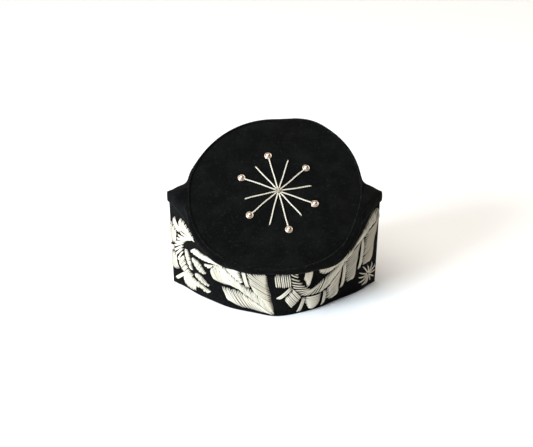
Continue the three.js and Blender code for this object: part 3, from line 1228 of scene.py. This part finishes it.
def make_velvet(name, sheen, patch_scale, worn=0.0):
    finish = Finish(name, Roughness=0.95, Specular_IOR_Level=0.05, Sheen_Weight=sheen,
                    Sheen_Roughness=0.45, Sheen_Tint=(0.85, 0.8, 0.75, 1))
    place = finish.place()
    patches = finish.noise(place, patch_scale, 4.0, 0.62)
    stroked = ((patches - 0.42) * 4.0).kept()
    colour = finish.mix(stroked, BLACK, STROKED)
    pile = finish.noise(place, 1900.0, 2.0, 0.7)
    tufts = finish.noise(place, 420.0, 3.0, 0.6)
    colour = finish.mix(((tufts - 0.56 + worn) * 3.5).kept(), colour, TUFT)
    cell = {"Vector": place, "Scale": LINT_SCALE}
    speck = finish.node("ShaderNodeTexVoronoi", {}, cell, out="Distance")
    chance = finish.node("ShaderNodeTexVoronoi", {}, cell, out="Color")
    chosen = finish.node("ShaderNodeSeparateColor", {}, {0: chance}) > 0.82
    lint = (1 - speck * 26.0).kept() * chosen
    finish.feed(
        Base_Color=finish.mix(lint, colour, LINT),
        Roughness=0.86 + tufts * 0.2,
        Normal=finish.bump(pile * 0.6 + tufts, 0.35, 0.8),
    )
    return finish.made


crown_velvet = make_velvet("crown_velvet_pile", 0.03, 48.0)
band_velvet = make_velvet("band_velvet_pile", 0.03, 40.0, worn=0.03)
# the seam ridge's pile is lighter, partly from wear and partly as a painted highlight along the ridge
seam_velvet = make_velvet("seam_velvet_worn_and_painted_highlight", 0.03, 40.0, worn=0.08)
print("velvet:", crown_velvet.name, band_velvet.name, seam_velvet.name)

# %% [markdown]
# The cloth inside
#
# The inside of the cap is lined with plain black cotton. Two sets of fine lines that cross make
# its weave. The faces that look towards the inside of the cap get it.

# %% Make the lining and give each sheet its two sides
DARK_COTTON = (0.006, 0.006, 0.007, 1)
WORN_COTTON = (0.022, 0.022, 0.024, 1)


def make_lining():
    finish = Finish("black_cotton_lining", Roughness=0.85, Specular_IOR_Level=0.25)
    place = finish.place()
    over, under = (
        finish.node("ShaderNodeTexWave", {"bands_direction": direction}, {
            "Vector": place, "Scale": scale, "Distortion": 0.6}, out="Fac")
        for direction, scale in (("Z", 240.0), ("DIAGONAL", 180.0)))
    weave = over * under
    worn = finish.noise(place, 60.0)
    finish.feed(
        Base_Color=finish.mix(weave * 0.6 + worn * 0.4, DARK_COTTON, WORN_COTTON),
        Normal=finish.bump(weave, 0.2, 0.6),
    )
    return finish.made


lining = make_lining()


def dress(piece, materials, looks_inside=None):
    piece.data.materials.clear()
    for material in materials:
        piece.data.materials.append(material)
    if looks_inside:
        for face in piece.data.polygons:
            face.material_index = int(looks_inside(face))


def upwards(face):
    return face.normal.dot(Vector(PANEL_UP))


def band_inside(face):
    outwards = np.array(face.center)[:2] / MM - BAND_MIDDLE
    return outwards @ np.array(face.normal)[:2] < 0 and abs(face.normal.z) < 0.7


def side_inside(face):
    inwards = INSIDE - np.array(face.center) / MM
    return inwards @ np.array(face.normal) > 0 and upwards(face) < 0.3


dress(band, [band_velvet, lining], band_inside)
dress(side, [crown_velvet, lining], side_inside)
dress(panel, [crown_velvet, lining], lambda face: upwards(face) < -0.3)
dress(ridge, [seam_velvet])
print("lined faces:", [sum(face.material_index for face in piece.data.polygons)
                       for piece in (band, side, panel)])

# %% [markdown]
# Cream thread
#
# The thread is soft, thick and slightly shiny. The UV map of each thread runs along its length and
# round it, so slanting lines on it look like the twist of the yarn. Every thread has a random tone
# of its own, each shape adds its painted shade, which is painted light where its grey is below zero,
# dust greys it in patches, and its sides get painted shade where they face the hollow between threads.

# %% Make the thread
CREAM = (0.72, 0.66, 0.54, 1)
DUST_AND_SHADE_CREAM = (0.50, 0.445, 0.345, 1)
# painted shade for the sides of the threads that face the hollows
PAINTED_HOLLOW_SHADE = (0.11, 0.095, 0.072, 1)


def make_thread():
    finish = Finish("cream_thread", Roughness=0.48, Specular_IOR_Level=0.4)
    spot = {0: finish.node("ShaderNodeUVMap", {"uv_map": "thread"})}
    length = finish.node("ShaderNodeSeparateXYZ", {}, spot, out="X")
    turn = finish.node("ShaderNodeSeparateXYZ", {}, spot, out="Y") * (2 * math.pi)
    twist = (length * 2.4 + turn * 3.0).sine()
    tone = finish.node("ShaderNodeAttribute", {"attribute_name": "tone"}, out="Fac")
    place = finish.place()
    dust = finish.noise(place, 90.0)
    fuzz = finish.noise(place, 2600.0, 2.0)
    # the darker cream comes from real dust and from the painted shade of each shape's grey
    worn = (tone * 0.4 + dust * 0.5 - twist * 0.14 - 0.1).kept()
    # a quarter turn is the top of the thread, and its sides get painted shade where they face the
    # hollows
    painted_hollow_shade = (0.55 - turn.sine()).kept()
    finish.feed(
        Base_Color=finish.mix(painted_hollow_shade, finish.mix(worn, CREAM, DUST_AND_SHADE_CREAM), PAINTED_HOLLOW_SHADE),
        Roughness=0.42 + fuzz * 0.2,
        Normal=finish.bump(twist * 0.5 + fuzz * 0.6, 0.12, 0.7),
    )
    return finish.made


thread = make_thread()
for piece in (embroidery_front, embroidery_back):
    dress(piece, [thread])
print("thread:", thread.name)

# %% [markdown]
# The cords of the star
#
# The cord is the same cream yarn. Its strands are modelled, so only their fibres are left to the
# finish. The knot gets the same finish with more grey in it.

# %% Make the cord's finish
def make_cord_finish(name, grey):
    finish = Finish(name, Roughness=0.5, Specular_IOR_Level=0.4, Sheen_Weight=0.15,
                    Sheen_Roughness=0.5)
    place = finish.place()
    fibres = finish.noise(place, 1500.0, 3.0, 0.7)
    dust = finish.noise(place, 140.0)
    finish.feed(
        Base_Color=finish.mix((dust * 0.5 + fibres * 0.3 - 0.1 + grey).kept(), CREAM, DUST_AND_SHADE_CREAM),
        Roughness=0.42 + fibres * 0.22,
        Normal=finish.bump(fibres, 0.12, 0.7),
    )
    return finish.made


dress(star_cords, [make_cord_finish("cream_cord", 0.0)])
dress(star_knot, [make_cord_finish("darker_knot_cord", 0.7)])
print("cords:", star_cords.data.materials[0].name, star_knot.data.materials[0].name)

# %% [markdown]
# The metal of the studs
#
# Thin plated metal, slightly pink. Noise wears it to a browner and duller tone in patches, and a
# fine grain keeps the reflections from looking like glass.

# %% Make the metal
PINK_SILVER = (0.72, 0.61, 0.52, 1)
WORN_SILVER = (0.48, 0.385, 0.31, 1)


def make_metal():
    finish = Finish("warm_plated_metal", Metallic=1.0, Roughness=0.25)
    place = finish.place()
    wear = finish.noise(place, 420.0, 3.0, 0.6)
    grain = finish.noise(place, 2400.0, 2.0)
    finish.feed(
        Base_Color=finish.mix(wear, PINK_SILVER, WORN_SILVER),
        Roughness=0.18 + wear * 0.2,
        Normal=finish.bump(grain, 0.03, 0.4),
    )
    return finish.made


metal = make_metal()
for piece in stud_pieces:
    dress(piece, [metal])
print("metal:", metal.name)

# %% [markdown]
# What each piece stands for
#
# Nothing on a cap moves as a hinge does, so every piece rides on the one body of the frame. The
# finished cloth and studs stand for the CAD solids, which stay behind for the physics.

# %% Hand the pieces to the frame
SLOTS = {
    "band_velvet": [band, embroidery_front, embroidery_back],
    "crown_velvet": [side, panel, ridge, star_cords, star_knot],
    "stud_metal": stud_pieces,
}
for slot_name, pieces in SLOTS.items():
    for piece in pieces:
        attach(piece, "root")
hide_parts("side_band")
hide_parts("crown_side")
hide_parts("crown_top")
for piece, name in zip(stud_pieces, studs):
    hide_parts(name)
print("pieces:", sum(len(pieces) for pieces in SLOTS.values()))

# %% [markdown]
# Floor and light
#
# The cap stands on a plain white floor between pale walls. One large soft light in front on the
# left gives the thread there its brightness and leaves the right side in half shade. A second light
# overhead, warm and as wide as a bright ceiling, keeps the floor white.

# %% Set the stage
FLOOR_SIZE = 60
let_go()
bpy.ops.mesh.primitive_plane_add(size=FLOOR_SIZE)
floor = bpy.context.object
floor.name = "floor"
floor_finish = Finish(
    "pale_floor", Base_Color=(0.93, 0.93, 0.93, 1), Roughness=0.9, Specular_IOR_Level=0.1)
dress(floor, [floor_finish.made])

WHITE_WALL = (0.09, (0.95, 0.95, 0.95, 1))
DIM_CEILING = (0.2, (0.13, 0.125, 0.115, 1))
room = Finish("pale_room", bpy.data.worlds, "Background")
way = room.node("ShaderNodeTexCoord", out="Generated")
height = room.node("ShaderNodeSeparateXYZ", {}, {0: way}, out="Z")
room.feed(Color=room.node("ShaderNodeValToRGB", {"stops": (WHITE_WALL, DIM_CEILING)}, {0: height}))
bpy.context.scene.world = room.made


def add_light(kind, name, place, power, colour):
    let_go()
    bpy.ops.object.light_add(type=kind, location=place)
    light = bpy.context.object
    light.name = name
    light.data.energy = power
    light.data.color = colour
    return light


KEY_PLACE = Vector((-1.62, -1.0, 0.75))
KEY_TARGET = Vector((0, 0, 0.07))
key = add_light("AREA", "key", KEY_PLACE, 86, (0.75, 0.88, 1.0))
key.data.size = 0.9
key.rotation_mode = "QUATERNION"
key.rotation_quaternion = (KEY_TARGET - KEY_PLACE).to_track_quat("-Z", "Y")
overhead = add_light("SUN", "overhead", (0, 0, 2), 2.85, (1.0, 0.95, 0.88))
overhead.data.angle = math.radians(60)
overhead.rotation_euler = (0, math.radians(-18), 0)
print("lights:", key.name, overhead.name)

# %% [markdown]
# The camera
#
# The camera looks down on the cap from the front by 26 degrees, from 0.9 m away. Its focal length is
# known in pixels of the photograph, and the width of the sensor turns that into millimetres.

# %% Place the camera
CAMERA_HEIGHT_ANGLE = math.radians(26)
CAMERA_DISTANCE = 0.902
PHOTO_WIDTH = 533
FOCAL_PIXELS = 802
LOOK_AT = Vector((-0.0090, BAND_MIDDLE[1] * MM, 0.0748))
back = Vector((0, -math.cos(CAMERA_HEIGHT_ANGLE), math.sin(CAMERA_HEIGHT_ANGLE)))
bpy.ops.object.camera_add(location=LOOK_AT + back * CAMERA_DISTANCE)
camera = bpy.context.object
camera.rotation_mode = "QUATERNION"
camera.rotation_quaternion = (-back).to_track_quat("-Z", "Y")
camera.data.sensor_width = 36
camera.data.lens = FOCAL_PIXELS / PHOTO_WIDTH * camera.data.sensor_width
bpy.context.scene.camera = camera
bpy.context.scene.view_settings.view_transform = "Standard"
print("camera lens:", round(camera.data.lens, 1), "mm")
